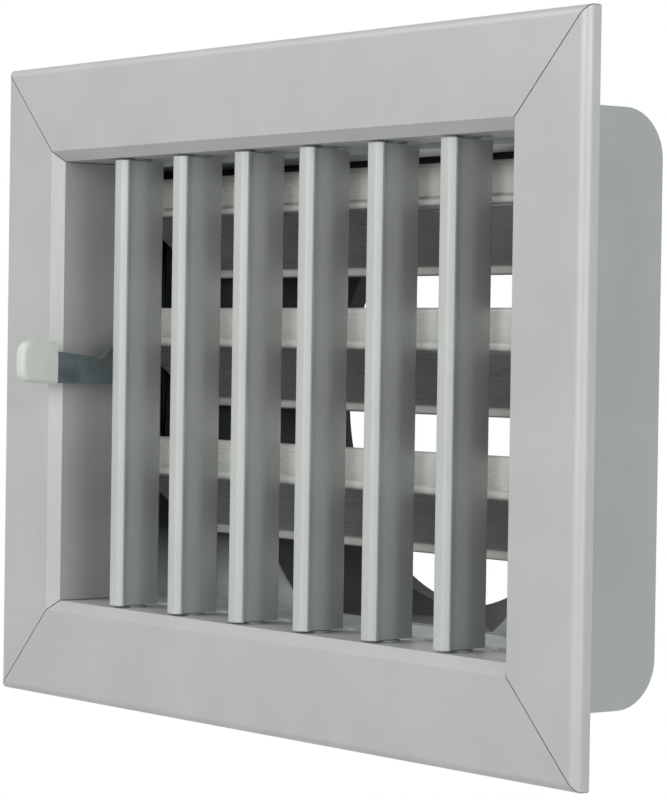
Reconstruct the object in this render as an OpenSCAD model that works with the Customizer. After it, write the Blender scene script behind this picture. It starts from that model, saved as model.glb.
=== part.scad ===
// Ventilation grille with a mitred extruded frame, six upright blades, a
// three-leaf damper worked by a front lever, and a rear box with a spigot.
// Axes: origin at the centre of the flange on its wall side, x to the right,
// y into the wall, z up. The visible face lies at y = -flange_t.
// All sizes are in millimetres.

/* [Frame] */
// Overall width of the flange
frame_w = 278.5; // [268:0.5:292]
// Overall height of the flange
frame_h = 200; // [197:0.5:204]
// Flat face of each limb, outer edge to bevel
limb_w = 27.2; // [25:0.1:29]
// Bevel between face and opening, both ways
bevel = 3.2; // [2.6:0.1:3.6]
// Height of the face over the wall plane
flange_t = 5; // [4.6:0.1:7]
// Radius of the outer edge
edge_r = 2.7; // [2.2:0.1:3]
// Wall thickness of the face
face_t = 2; // [1.6:0.1:2.2]
// Wall thickness of the neck round the opening
neck_t = 1.6; // [1.2:0.1:1.6]
// Depth of the neck behind the wall plane
neck_d = 18; // [17:0.1:18]
// Width of the channel that holds the corner keys
key_w = 10.4; // [8:0.1:11]
// Length of each leg of a corner key
key_l = 44; // [34:1:60]
// Gap at each mitre joint
mitre_gap = 0.16; // [0.1:0.02:0.3]

/* [Front blades] */
// Distance from the side of the opening to the nearest blade centre
blade_side_gap = 29.6; // [28.5:0.1:31]
// Width of the blade nose
nose_w = 6.4; // [5.8:0.1:7]
// Width of the flat front of the nose
nose_flat = 3.5; // [3:0.1:4]
// Depth of a blade from nose to tail
blade_d = 16.6; // [16:0.1:17]
// Distance of the nose front behind the wall plane
nose_y = -1.3; // [-1.6:0.1:-1]
// Thickness of a blade at its pivot
blade_t = 4.2; // [3.8:0.1:4.8]
// Thickness of a blade near its tail
tail_t = 1.5; // [1.1:0.1:2]
// Clearance between blade end and frame
blade_end_gap = 0.7; // [0.7:0.05:0.9]
// Radius of the blade pins
blade_pin_r = 1; // [0.9:0.05:1.2]

/* [Damper] */
// Distance from the top of the damper frame to the upper pivot
leaf_top_gap = 14.6; // [14:0.1:16]
// Distance from the bottom of the damper frame to the lower pivot
leaf_bot_gap = 41.2; // [40:0.1:42]
// Distance of the leaf pivots behind the neck
leaf_gap = 4; // [3.8:0.1:4.2]
// Length of the upper leg of a leaf
leaf_up = 10.8; // [9.5:0.1:11]
// Depth that the lower leg reaches behind the pivot
leaf_back = 22.3; // [20:0.1:22.5]
// Drop of the lower leg below the pivot
leaf_drop = 20.1; // [18:0.1:20.5]
// Height of the lip at the end of the lower leg
leaf_lip = 2.6; // [2:0.1:3.2]
// Forward bulge of the upper leg
leaf_bulge = 0.8; // [0.4:0.1:1]
// Offset of the crease in the lower leg
leaf_crease = 0.8; // [0.4:0.1:1]
// Sheet thickness of a leaf
leaf_t = 1.2; // [1:0.1:1.4]
// Outer radius of the pivot bead
leaf_bead_r = 1.8; // [1.75:0.05:1.9]
// Inset of the damper frame from the sides of the opening
damper_inset = 0.95; // [0.9:0.05:1.3]
// Inset of the damper frame from the top of the opening
damper_top_inset = 1.5; // [1.2:0.1:2]
// Inset of the damper frame from the bottom of the opening
damper_bot_inset = 0.7; // [0.4:0.1:1.2]
// Depth of the damper frame behind the neck
damper_d = 23; // [21:0.5:24]
// Radius of the damper pins outside the leaf
leaf_pin_r = 2; // [1.8:0.1:2.2]

/* [Lever and link] */
// Distance from a leaf pivot to its crank pin
crank_r = 12; // [11:0.1:12.5]
// Height of the flat strip of the lever at its front end
strip_h = 10; // [9:0.1:11]
// Height of the strip before it rises to the pivot
strip_h2 = 8; // [7:0.1:8.5]
// Drop of the lower edge of the strip below the lever pivot
strip_drop = 13.3; // [12.8:0.1:13.8]
// Depth where the strip begins to rise to the pivot
strip_bend_y = 10; // [8:0.5:12]
// Thickness of lever and cranks
crank_t = 1.5; // [1.2:0.1:1.6]
// Thickness of the link bar
link_t = 1.2; // [1:0.1:1.2]
// Radius of the crank pins
crank_pin_r = 1.5; // [1.3:0.1:1.8]
// Front end of the lever cap
cap_front_y = -21.4; // [-26:0.2:-18]
// Length of the lever cap
cap_l = 13.1; // [12:0.1:18]
// Height of the lever cap
cap_h = 13.8; // [12:0.1:15]
// Thickness of the lever cap
cap_t = 4.6; // [4:0.1:5]

/* [Rear box] */
// Clearance between the sides of neck and box
box_side_gap = 0.4; // [0.35:0.05:0.9]
// Clearance between neck and box above
box_top_gap = 5.5; // [4.8:0.1:7]
// Clearance between neck and box below
box_bot_gap = 12.1; // [11:0.1:14]
// Distance of the rear face of the box behind the leaf lips
box_rear_gap = 3.9; // [3.7:0.1:5.5]
// Outer radius of the bent corners
box_bend_r = 13.5; // [8:0.1:13.5]
// Thickness of the sheet metal
sheet_t = 0.8; // [0.7:0.05:0.8]
// Outer radius of the spigot
spigot_r = 63.5; // [62.5:0.1:64]
// Length of the plain part of the spigot
spigot_l = 5; // [4:0.5:30]
// Wall thickness of the spigot
spigot_t = 0.8; // [0.8:0.1:1.5]
// Radius of the opening in the rear of the box
rear_hole_r = 79.7; // [76:0.1:80]
// Length of the funnel between rear opening and spigot
funnel_l = 24.5; // [20:0.5:28]
// Thickness of the flange of the spigot
spigot_flange_t = 1.5; // [1.2:0.1:2]

/* [Hidden] */

open_w = frame_w / 2 - limb_w - bevel;
open_h = frame_h / 2 - limb_w - bevel;
face_y = -flange_t;
neck_out_w = open_w + neck_t;
neck_out_h = open_h + neck_t;
rib_t = 1.2;
rib_u = 6;
hook_w = 1.1;
key_u = rib_u + rib_t + 0.1;
key_t = 1.7;
key_y = face_y + face_t + 0.05;

blade_pitch = 2 * (open_w - blade_side_gap) / 5;
blade_half = open_h - blade_end_gap;
pivot_y = nose_y + blade_d / 2;
blade_bore_r = blade_pin_r + 0.02;
bush_bore_r = blade_pin_r + 0.06;
bush_r = blade_pin_r + 1.3;
bush_flange_r = blade_pin_r + 2.3;
bush_flange_t = 0.55;
blade_pin_in = 14;

side_in = open_w - damper_inset;
side_out = side_in + sheet_t;
damper_top_z = open_h - damper_top_inset;
damper_bot_z = damper_bot_inset - open_h;
damper_end_y = neck_d + damper_d;
leaf_y = neck_d + leaf_gap;
leaf_pitch = (damper_top_z - leaf_top_gap - damper_bot_z - leaf_bot_gap) / 2;
leaf_mid_z = damper_bot_z + leaf_bot_gap + leaf_pitch;
strip_z = leaf_mid_z - strip_drop;

box_half_w = neck_out_w + box_side_gap + sheet_t;
box_top_z = neck_out_h + box_top_gap + sheet_t;
box_bot_z = -neck_out_h - box_bot_gap - sheet_t;
box_rear_y = leaf_y + leaf_back + box_rear_gap;
box_in_top = box_top_z - sheet_t;
box_in_bot = box_bot_z + sheet_t;
box_in_w = box_half_w - sheet_t;
box_in_rear = box_rear_y - sheet_t;
box_front_y = 0.5;
spigot_z = (box_top_z + box_bot_z) / 2;
tab_y0 = neck_d + 0.4;

leaf_left_gap = 4.9;
leaf_right_gap = 1.5;
leaf_left = leaf_left_gap - side_in;
leaf_right = side_in - leaf_right_gap;
leaf_bore_r = 1.12;
leaf_stub_r = 1.1;
leaf_bush_bore = leaf_pin_r + 0.06;
leaf_bush_r = leaf_pin_r + 1.4;
leaf_bush_flange = leaf_pin_r + 2.8;
crank_x = leaf_left - crank_t;
link_x = crank_x - 0.4 - link_t;
pin_end = side_out + 1.5;
crank_y = leaf_y + crank_r;
leaf_z = [leaf_mid_z + leaf_pitch, leaf_mid_z, leaf_mid_z - leaf_pitch];
lug_r = 4.2;
eye_r = 3.4;

// Position of a front blade, numbered from the left
function blade_x(i) = (i - 3.5) * blade_pitch;

// Cross-section of a frame limb as distance from the outer edge and depth
edge_steps = 10;
limb_pts = concat(
    [[0, 0]],
    [for (i = [0:edge_steps])
        [edge_r - edge_r * cos(90 * i / edge_steps),
         face_y + edge_r - edge_r * sin(90 * i / edge_steps)]],
    [[limb_w, face_y],
     [limb_w + bevel, face_y + bevel],
     [limb_w + bevel, neck_d],
     [limb_w + bevel - neck_t, neck_d],
     [limb_w + bevel - neck_t, face_y + bevel + 0.6],
     [limb_w - 0.8, face_y + face_t],
     [rib_u + 2 * rib_t + key_w + 0.2, face_y + face_t],
     [rib_u + 2 * rib_t + key_w + 0.2, -0.3],
     [rib_u + rib_t + key_w + 0.2 - hook_w, -0.3],
     [rib_u + rib_t + key_w + 0.2 - hook_w, -1.1],
     [rib_u + rib_t + key_w + 0.2, -1.1],
     [rib_u + rib_t + key_w + 0.2, face_y + face_t],
     [rib_u + rib_t, face_y + face_t],
     [rib_u + rib_t, -1.1],
     [rib_u + rib_t + hook_w, -1.1],
     [rib_u + rib_t + hook_w, -0.3],
     [rib_u, -0.3],
     [rib_u, face_y + face_t],
     [1.8, face_y + face_t + 0.3],
     [1.8, 0]]);

module limb_bar(len, half) {
    intersection() {
        translate([-len / 2, 0, 0])
            rotate([90, 0, 90])
                linear_extrude(len)
                    polygon([for (p = limb_pts) [p[1], half - p[0]]]);
        translate([0, neck_d + 10, 0])
            rotate([90, 0, 0])
                linear_extrude(neck_d + flange_t + 20)
                    polygon([
                        [-len / 2 + mitre_gap, half + 0.1],
                        [len / 2 - mitre_gap, half + 0.1],
                        [len / 2 - 40 - mitre_gap, half - 39.9],
                        [-len / 2 + 40 + mitre_gap, half - 39.9]]);
    }
}

module bush_holes(z0) {
    for (i = [1:6])
        translate([blade_x(i), pivot_y, z0 - 3])
            cylinder(h = 6, r = bush_r + 0.05, $fn = 32);
    for (x = [-spring_x, spring_x])
        translate([x, spring_y0 + 3.5, z0 - 3])
            cylinder(h = 6, r = spring_rivet_r + 0.02, $fn = 24);
}

module frame_top() {
    color([0.74, 0.75, 0.74])
        difference() {
            limb_bar(frame_w, frame_h / 2);
            bush_holes(open_h);
        }
}

module frame_bottom() {
    color([0.74, 0.75, 0.74])
        difference() {
            rotate([0, 180, 0]) limb_bar(frame_w, frame_h / 2);
            bush_holes(-open_h);
        }
}

module frame_left() {
    color([0.74, 0.75, 0.74])
        rotate([0, -90, 0]) limb_bar(frame_h, frame_w / 2);
}

module frame_right() {
    color([0.74, 0.75, 0.74])
        rotate([0, 90, 0]) limb_bar(frame_h, frame_w / 2);
}

// Flat angle pieces that slide in the channels and hold the mitres together
module corner_keys() {
    color([0.6, 0.61, 0.62])
        for (sx = [-1, 1])
            for (sz = [-1, 1])
                scale([sx, 1, sz])
                    translate([0, key_y + key_t, 0])
                        rotate([90, 0, 0])
                            linear_extrude(key_t)
                                polygon([
                                    [frame_w / 2 - key_u, frame_h / 2 - key_u],
                                    [frame_w / 2 - key_u - key_l, frame_h / 2 - key_u],
                                    [frame_w / 2 - key_u - key_l, frame_h / 2 - key_u - key_w],
                                    [frame_w / 2 - key_u - key_w, frame_h / 2 - key_u - key_w],
                                    [frame_w / 2 - key_u - key_w, frame_h / 2 - key_u - key_l],
                                    [frame_w / 2 - key_u, frame_h / 2 - key_u - key_l]]);
}

// Leaf springs that hold the neck in the box
spring_w = 14;
spring_side = 44.85;
spring_x = open_w - spring_side;
spring_l = 14.9;
spring_rise = 10;
spring_t = 0.5;
spring_y0 = 2.4;
spring_rivet_r = 1.2;

module spring_strip(reach) {
    translate([-spring_w / 2, 0, 0])
        rotate([90, 0, 90])
            linear_extrude(spring_w)
                polygon([
                    [spring_y0, 0],
                    [spring_y0 + 7, 0],
                    [spring_y0 + spring_rise + 0.5, reach - spring_t],
                    [spring_y0 + spring_l - 3.1, reach - spring_t],
                    [spring_y0 + spring_l - 0.5, 0.9],
                    [spring_y0 + spring_l, 1.1],
                    [spring_y0 + spring_l - 2.6, reach],
                    [spring_y0 + spring_rise, reach],
                    [spring_y0 + 6.6, spring_t],
                    [spring_y0, spring_t]]);
}

module fixing_springs() {
    color([0.62, 0.63, 0.65])
        for (x = [-spring_x, spring_x]) {
            difference() {
                translate([x, 0, neck_out_h])
                    spring_strip(box_in_top - neck_out_h);
                translate([x, spring_y0 + 3.5, neck_out_h - 1])
                    cylinder(h = 3, r = spring_rivet_r + 0.02, $fn = 24);
            }
            difference() {
                translate([x, 0, -neck_out_h])
                    mirror([0, 0, 1])
                        spring_strip(-box_in_bot - neck_out_h);
                translate([x, spring_y0 + 3.5, -neck_out_h - 2])
                    cylinder(h = 3, r = spring_rivet_r + 0.02, $fn = 24);
            }
        }
}

module spring_rivets() {
    color([0.75, 0.76, 0.77])
        for (x = [-spring_x, spring_x])
            for (s = [-1, 1])
                scale([1, 1, s])
                    translate([x, spring_y0 + 3.5, open_h + 0.05]) {
                        cylinder(h = neck_t + spring_t - 0.05, r = spring_rivet_r, $fn = 24);
                        translate([0, 0, neck_t + spring_t - 0.05])
                            cylinder(h = 0.8, r1 = 2.2, r2 = 1.6, $fn = 24);
                    }
}

// Half outline of a front blade as half width and depth behind the nose front
nose_slope = (nose_w - nose_flat) / 2;
blade_half_pts = [
    [0, 0],
    [nose_flat / 2, 0],
    [nose_w / 2, nose_slope],
    [nose_w / 2, nose_slope + 0.35],
    [nose_w / 2 - 0.2, nose_slope + 1.05],
    [nose_w / 2 - 0.9, nose_slope + 1.55],
    [blade_t * 0.36, nose_slope + 2.05],
    [blade_t * 0.34, nose_slope + 2.65],
    [blade_t * 0.37, blade_d * 0.31],
    [blade_t * 0.44, blade_d * 0.39],
    [blade_t * 0.49, blade_d * 0.46],
    [blade_t * 0.5, blade_d * 0.52],
    [blade_t * 0.48, blade_d * 0.6],
    [blade_t * 0.42, blade_d * 0.7],
    [tail_t * 0.92, blade_d * 0.8],
    [tail_t * 0.68, blade_d * 0.9],
    [tail_t * 0.5, blade_d * 0.97],
    [tail_t * 0.25, blade_d]];

module front_blade(i) {
    color([0.72, 0.74, 0.72])
        translate([blade_x(i), nose_y, -blade_half])
            linear_extrude(2 * blade_half)
                difference() {
                    polygon(concat(
                        blade_half_pts,
                        [for (k = [len(blade_half_pts) - 1:-1:1])
                            [-blade_half_pts[k][0], blade_half_pts[k][1]]]));
                    translate([0, blade_d / 2])
                        circle(r = blade_bore_r, $fn = 32);
                }
}

module front_pins(i) {
    color([0.7, 0.71, 0.72])
        for (s = [-1, 1])
            scale([1, 1, s])
                translate([blade_x(i), pivot_y, blade_half - blade_pin_in])
                    cylinder(h = blade_pin_in + blade_end_gap + neck_t + 1.2,
                        r = blade_pin_r, $fn = 32);
}

module blade_1() { front_blade(1); }
module blade_2() { front_blade(2); }
module blade_3() { front_blade(3); }
module blade_4() { front_blade(4); }
module blade_5() { front_blade(5); }
module blade_6() { front_blade(6); }
module blade_pins_1() { front_pins(1); }
module blade_pins_2() { front_pins(2); }
module blade_pins_3() { front_pins(3); }
module blade_pins_4() { front_pins(4); }
module blade_pins_5() { front_pins(5); }
module blade_pins_6() { front_pins(6); }

module blade_bushes() {
    color([0.5, 0.54, 0.51])
        for (i = [1:6])
            for (s = [-1, 1])
                scale([1, 1, s])
                    translate([blade_x(i), pivot_y, open_h])
                        difference() {
                            union() {
                                translate([0, 0, -bush_flange_t])
                                    cylinder(h = bush_flange_t, r = bush_flange_r, $fn = 40);
                                cylinder(h = neck_t + 0.7, r = bush_r, $fn = 32);
                            }
                            translate([0, 0, -2])
                                cylinder(h = neck_t + 6, r = bush_bore_r, $fn = 32);
                        }
}

// Rails of the damper frame, bent to close the gap to the box
rail_tab_half = side_in - 7.9;
rail_tab_d = 9;
rail_rivet_x = [20 - rail_tab_half, 0, rail_tab_half - 20];
rail_rivet_y = tab_y0 + 6;
module damper_rail(z_in, z_box, s) {
    difference() {
        translate([-box_in_w + 0.3, 0, 0])
            rotate([90, 0, 90])
                linear_extrude(2 * box_in_w - 0.6)
                    polygon([
                        [tab_y0, z_in],
                        [damper_end_y, z_in],
                        [damper_end_y, z_in + s * sheet_t],
                        [tab_y0 + sheet_t, z_in + s * sheet_t],
                        [tab_y0 + sheet_t, z_box],
                        [tab_y0, z_box]]);
        for (x = [-1, 1])
            for (y = [tab_y0 + 4, damper_end_y - 10])
                translate([x * (side_in + sheet_t / 2) - sheet_t / 2 - 0.1, y - 0.1, z_in - 2])
                    cube([sheet_t + 0.2, 6.2, 4]);
    }
    difference() {
        translate([-rail_tab_half, tab_y0 + sheet_t, min(z_box, z_box - s * sheet_t)])
            cube([2 * rail_tab_half, rail_tab_d, sheet_t]);
        for (x = rail_rivet_x)
            translate([x, rail_rivet_y, z_box - 2])
                cylinder(h = 4, r = 1.62, $fn = 24);
    }
}

module damper_top() {
    color([0.6, 0.62, 0.61])
        damper_rail(damper_top_z, box_in_top, 1);
}

module damper_bottom() {
    color([0.6, 0.62, 0.61])
        damper_rail(damper_bot_z, box_in_bot, -1);
}

module damper_side() {
    difference() {
        union() {
            translate([side_in, tab_y0, damper_bot_z])
                cube([sheet_t, damper_end_y - tab_y0, damper_top_z - damper_bot_z]);
            for (y = [tab_y0 + 4, damper_end_y - 10])
                translate([side_in, y, damper_bot_z - 2.4])
                    cube([sheet_t, 6, damper_top_z - damper_bot_z + 4.8]);
        }
        for (z = leaf_z)
            translate([side_in - 2, leaf_y, z])
                rotate([0, 90, 0])
                    cylinder(h = 6, r = leaf_bush_r + 0.05, $fn = 32);
    }
}

module damper_right() {
    color([0.6, 0.62, 0.61]) damper_side();
}

module damper_left() {
    color([0.6, 0.62, 0.61]) mirror([1, 0, 0]) damper_side();
}

module damper_bushes() {
    color([0.85, 0.85, 0.83])
        for (s = [-1, 1])
            for (z = leaf_z)
                scale([s, 1, 1])
                    translate([side_in, leaf_y, z])
                        rotate([0, 90, 0])
                            difference() {
                                union() {
                                    translate([0, 0, -0.6])
                                        cylinder(h = 0.6, r = leaf_bush_flange, $fn = 40);
                                    cylinder(h = sheet_t + 1, r = leaf_bush_r, $fn = 32);
                                }
                                translate([0, 0, -2])
                                    cylinder(h = 8, r = leaf_bush_bore, $fn = 32);
                            }
}

module blind_rivet(head_r, shank_r, grip) {
    cylinder(h = 1, r1 = head_r, r2 = head_r * 0.55, $fn = 24);
    translate([0, 0, -grip])
        cylinder(h = grip, r = shank_r, $fn = 24);
    translate([0, 0, -grip - 1.4])
        cylinder(h = 1.4, r1 = shank_r * 0.8, r2 = shank_r * 1.5, $fn = 24);
}

module damper_rivets() {
    color([0.75, 0.76, 0.77])
        for (x = rail_rivet_x) {
            translate([x, rail_rivet_y, box_top_z])
                blind_rivet(3, 1.6, 2 * sheet_t);
            translate([x, rail_rivet_y, box_bot_z])
                mirror([0, 0, 1])
                    blind_rivet(3, 1.6, 2 * sheet_t);
        }
}

// Damper leaf: bowed upper leg, pivot bead, creased lower leg and end lip
crease_at = 0.52;
crease_y = leaf_crease * leaf_drop / (leaf_back + leaf_drop);
crease_z = leaf_crease * leaf_back / (leaf_back + leaf_drop);
lip_y = leaf_back - leaf_t;
lip_z = leaf_lip - leaf_drop;
leg_steps = 8;
bead_steps = 20;
function leg_front(z) =
    -leaf_t / 2 - 4 * leaf_bulge * (z / leaf_up) * (1 - z / leaf_up);

// Angle at which the line from p towards c leaves the bead
function leave_angle(p, c) =
    let(
        u = (c - p) / norm(c - p),
        b = p * u,
        q = p + u * (sqrt(b * b - p * p + leaf_bead_r * leaf_bead_r) - b)
    )
    atan2(q[1], q[0]);
function bead_arc(from, to, steps) = [
    for (i = [0:steps])
        let(a = from + (to - from) * i / steps)
        [leaf_bead_r * cos(a), leaf_bead_r * sin(a)]
];

bead_front = acos(leg_front(0.84 * leaf_bead_r) / leaf_bead_r);
bead_rear = acos((leg_front(leaf_bead_r) + leaf_t) / leaf_bead_r);
leg_front_z = leaf_bead_r * sin(bead_front);
leg_rear_z = leaf_bead_r * sin(bead_rear);
crease_front = [lip_y * crease_at + crease_y, lip_z * crease_at + crease_z];
crease_rear = [
    leaf_back * crease_at + leaf_t * 0.3 + crease_y,
    lip_z * crease_at + leaf_t * 0.5 + crease_z
];
drop_front = leave_angle([-leaf_t * 0.38, -leaf_t * 0.48], crease_front);
drop_rear = leave_angle([leaf_t * 0.38, leaf_t * 0.48], crease_rear);

module leaf(k) {
    color([0.76, 0.76, 0.74])
        translate([leaf_left, leaf_y, leaf_z[k]])
            rotate([90, 0, 90])
                linear_extrude(leaf_right - leaf_left)
                    difference() {
                        polygon(concat(
                            [for (i = [leg_steps:-1:1])
                                let(z = leg_front_z + (leaf_up - leg_front_z) * i / leg_steps)
                                [leg_front(z), z]],
                            bead_arc(bead_front, drop_front + 360, bead_steps),
                            [
                                crease_front,
                                [lip_y, lip_z],
                                [lip_y, -leaf_drop],
                                [leaf_back, -leaf_drop],
                                [leaf_back, lip_z + 0.8],
                                crease_rear
                            ],
                            bead_arc(drop_rear, bead_rear, bead_steps / 2),
                            [for (i = [1:leg_steps])
                                let(z = leg_rear_z + (leaf_up - leg_rear_z) * i / leg_steps)
                                [leg_front(z) + leaf_t, z]]));
                        circle(r = leaf_bore_r, $fn = 32);
                    }
}

module leaf_pins(k) {
    color([0.7, 0.71, 0.72]) {
        translate([leaf_left - pin_end - leaf_left, leaf_y, leaf_z[k]])
            rotate([0, 90, 0]) {
                cylinder(h = pin_end + leaf_left, r = leaf_pin_r, $fn = 32);
                cylinder(h = pin_end + leaf_left + 15, r = leaf_stub_r, $fn = 32);
            }
        translate([leaf_right - 15, leaf_y, leaf_z[k]])
            rotate([0, 90, 0]) {
                cylinder(h = pin_end - leaf_right + 15, r = leaf_stub_r, $fn = 32);
                translate([0, 0, 15])
                    cylinder(h = pin_end - leaf_right, r = leaf_pin_r, $fn = 32);
            }
    }
}

module leaf_1() { leaf(0); }
module leaf_2() { leaf(1); }
module leaf_3() { leaf(2); }
module leaf_pins_1() { leaf_pins(0); }
module leaf_pins_2() { leaf_pins(1); }
module leaf_pins_3() { leaf_pins(2); }

module crank_bores() {
    circle(r = leaf_pin_r + 0.02, $fn = 32);
    translate([crank_r, 0])
        circle(r = crank_pin_r + 0.02, $fn = 32);
}

module crank(k) {
    color([0.55, 0.57, 0.6])
        translate([crank_x, leaf_y, leaf_z[k]])
            rotate([90, 0, 90])
                linear_extrude(crank_t)
                    difference() {
                        hull() {
                            circle(r = lug_r, $fn = 40);
                            translate([crank_r, 0])
                                circle(r = eye_r, $fn = 40);
                        }
                        crank_bores();
                    }
}

module crank_1() { crank(0); }
module crank_3() { crank(2); }

// Flat strip that reaches forward through the opening and works leaf 2
strip_dz = strip_z - leaf_mid_z;
module lever() {
    color([0.5, 0.53, 0.58])
        translate([crank_x, leaf_y, leaf_mid_z])
            rotate([90, 0, 90])
                linear_extrude(crank_t)
                    difference() {
                        union() {
                            hull() {
                                circle(r = lug_r, $fn = 40);
                                translate([crank_r, 0])
                                    circle(r = eye_r, $fn = 40);
                            }
                            polygon([
                                [cap_front_y + 3 - leaf_y, strip_dz + 0.8],
                                [cap_front_y + cap_l - leaf_y, strip_dz],
                                [strip_bend_y + 3 - leaf_y, strip_dz - 0.2],
                                [1.5, -lug_r + 0.3],
                                [1, lug_r - 0.2],
                                [-3, lug_r - 0.8],
                                [strip_bend_y - 1 - leaf_y, strip_dz + strip_h2],
                                [cap_front_y + cap_l - leaf_y, strip_dz + strip_h],
                                [cap_front_y + 3 - leaf_y, strip_dz + strip_h]]);
                        }
                        crank_bores();
                    }
}

// Moulded cap pushed on the end of the strip
cap_mid_x = crank_x + crank_t / 2;
cap_z0 = strip_z - 0.6;
cap_tilt = 1.2;
module lever_cap() {
    color([0.9, 0.92, 0.89])
        difference() {
            translate([cap_mid_x - cap_t / 2, 0, 0])
                rotate([90, 0, 90])
                    linear_extrude(cap_t)
                        union() {
                            polygon([
                                [cap_front_y, cap_z0 + cap_tilt + 0.6],
                                [cap_front_y + 0.6, cap_z0 + cap_tilt],
                                [cap_front_y + cap_l, cap_z0],
                                [cap_front_y + cap_l, cap_z0 + cap_h],
                                [cap_front_y + 4, cap_z0 + cap_h],
                                [cap_front_y, cap_z0 + cap_h - 4]]);
                            translate([cap_front_y + 4, cap_z0 + cap_h - 4])
                                circle(r = 4, $fn = 40);
                        }
            translate([crank_x - 0.02, cap_front_y + 2.9, strip_z - 0.02])
                cube([crank_t + 0.04, cap_l, strip_h + 0.04]);
        }
}

module crank_pin(k) {
    color([0.7, 0.71, 0.72])
        translate([link_x - 0.3, crank_y, leaf_z[k]])
            rotate([0, 90, 0]) {
                cylinder(h = crank_x + crank_t - link_x + 0.25, r = crank_pin_r, $fn = 32);
                translate([0, 0, -0.7])
                    cylinder(h = 0.7, r = crank_pin_r + 1.2, $fn = 32);
            }
}

module crank_pin_1() { crank_pin(0); }
module crank_pin_2() { crank_pin(1); }
module crank_pin_3() { crank_pin(2); }

module link_bar() {
    color([0.55, 0.57, 0.6])
        translate([link_x, crank_y, 0])
            rotate([90, 0, 90])
                linear_extrude(link_t)
                    difference() {
                        hull() {
                            translate([0, leaf_z[0]])
                                circle(r = 4, $fn = 40);
                            translate([0, leaf_z[2]])
                                circle(r = 4, $fn = 40);
                        }
                        for (z = leaf_z)
                            translate([0, z])
                                circle(r = crank_pin_r + 0.06, $fn = 32);
                    }
}

// Side outline of the rear box, shrunk by d
module box_outline(d, front) {
    translate([front, box_bot_z + d])
        square([box_rear_y - box_bend_r - front, box_top_z - box_bot_z - 2 * d]);
    translate([front, box_bot_z + box_bend_r])
        square([box_rear_y - d - front, box_top_z - box_bot_z - 2 * box_bend_r]);
    for (z = [box_top_z - box_bend_r, box_bot_z + box_bend_r])
        translate([box_rear_y - box_bend_r, z])
            circle(r = box_bend_r - d, $fn = 96);
}

rear_rivet_x = box_in_w - 3;
rear_rivet_z = [spigot_z - 49, spigot_z + 49];
module edge_rivet_holes() {
    for (x = [-rear_rivet_x, rear_rivet_x])
        for (z = rear_rivet_z)
            translate([x, box_rear_y - 4, z])
                rotate([-90, 0, 0])
                    cylinder(h = 8, r = 1.22, $fn = 24);
}

// Round form cut flat above and below, where the box begins to bend
rear_flat = (box_top_z - box_bot_z) / 2 - box_bend_r - 0.5;
module flat_sided(half) {
    intersection() {
        children();
        translate([-120, -10, -half])
            cube([240, 100, 2 * half]);
    }
}

module box_wrap() {
    color([0.62, 0.64, 0.63])
        difference() {
            translate([-box_in_w, 0, 0])
                rotate([90, 0, 90])
                    linear_extrude(2 * box_in_w)
                        difference() {
                            box_outline(0, box_front_y);
                            box_outline(sheet_t, box_front_y - 5);
                        }
            translate([0, box_in_rear - 5, spigot_z])
                flat_sided(rear_flat - spigot_t)
                    rotate([-90, 0, 0])
                        cylinder(h = 12, r = rear_hole_r, $fn = 128);
            edge_rivet_holes();
            for (x = rail_rivet_x)
                for (z = [box_top_z, box_bot_z])
                    translate([x, rail_rivet_y, z - 3])
                        cylinder(h = 6, r = 1.62, $fn = 24);
            spigot_rivet_holes();
        }
}

side_tab_w = 6;
side_tab_y = 21;
side_tab_d = 13;
rear_tab_w = 4;
rear_tab_end = 20;
module box_side() {
    difference() {
        union() {
            translate([box_in_w, 0, 0])
                rotate([90, 0, 90])
                    linear_extrude(sheet_t)
                        box_outline(0, box_front_y);
            for (z = [box_in_top - sheet_t, box_in_bot])
                translate([box_in_w - side_tab_w, side_tab_y, z])
                    cube([side_tab_w + sheet_t / 2, side_tab_d, sheet_t]);
            translate([box_in_w - rear_tab_w, box_in_rear - sheet_t, box_bot_z + rear_tab_end])
                cube([rear_tab_w + sheet_t / 2, sheet_t, box_top_z - box_bot_z - 2 * rear_tab_end]);
        }
        edge_rivet_holes();
    }
}

module box_right() {
    color([0.62, 0.64, 0.63]) box_side();
}

module box_left() {
    color([0.62, 0.64, 0.63]) mirror([1, 0, 0]) box_side();
}

module box_rivets() {
    color([0.75, 0.76, 0.77])
        for (x = [-rear_rivet_x, rear_rivet_x])
            for (z = rear_rivet_z)
                translate([x, box_rear_y, z])
                    rotate([-90, 0, 0])
                        blind_rivet(2, 1.2, 2 * sheet_t);
}

flange_w = 6.3;
flange_rivet_r = rear_hole_r + flange_w / 2 + 0.4;
flange_rivet_a = [12, 35, 145, 168, 192, 215, 325, 348];
module spigot_rivet_holes() {
    for (a = flange_rivet_a)
        translate([flange_rivet_r * cos(a), box_rear_y - 3, spigot_z + flange_rivet_r * sin(a)])
            rotate([-90, 0, 0])
                cylinder(h = 8, r = 0.92, $fn = 20);
}

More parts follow.
